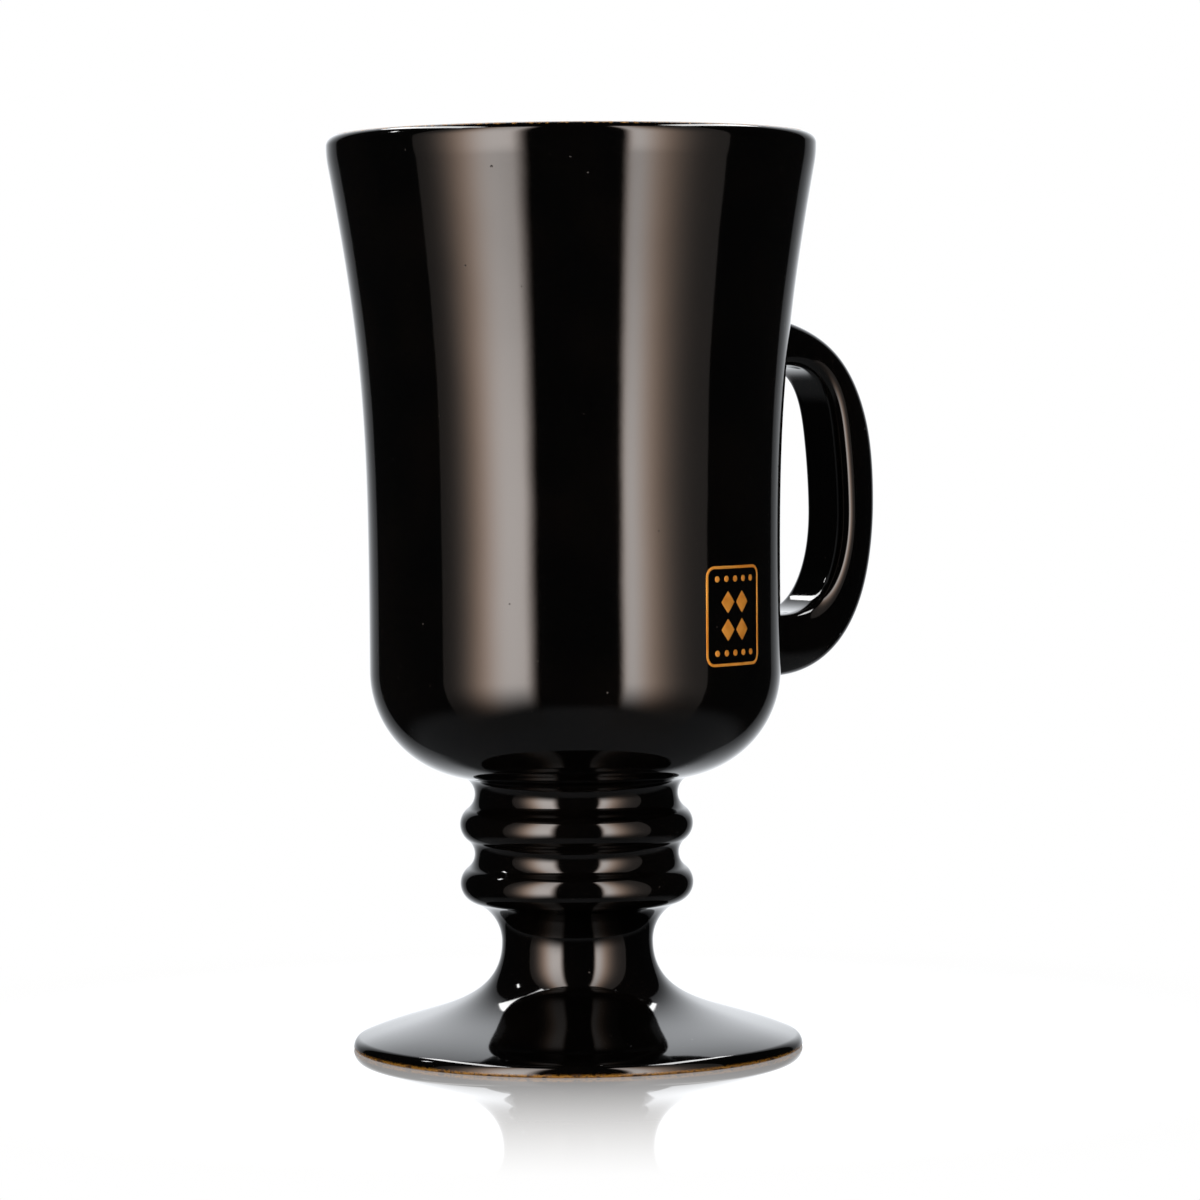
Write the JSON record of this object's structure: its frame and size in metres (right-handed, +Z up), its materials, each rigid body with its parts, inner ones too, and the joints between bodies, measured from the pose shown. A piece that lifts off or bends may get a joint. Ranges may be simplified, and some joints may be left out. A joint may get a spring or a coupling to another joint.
{
  "type": "footed mug",
  "caption": "Glossy black ceramic footed mug: a flared cup on a beaded stem and trumpet foot, with a D-shaped strap handle at its side",
  "frame": {"origin": "on the table plane, at the middle of the whole object's plan, handle included", "axes": "+Z up along the mug's axis, +X towards the handle, +Y to the left of someone who looks along +X"},
  "size_m": [0.105, 0.0798, 0.149],
  "materials": {
    "black_glaze": "gloss"
  },
  "bodies": {
    "root": {"bowl": "black_glaze", "stem_lute": "black_glaze", "pedestal": "black_glaze", "handle": "black_glaze", "upper_handle_lute": "black_glaze", "lower_handle_lute": "black_glaze"}
  },
  "joints": []
}
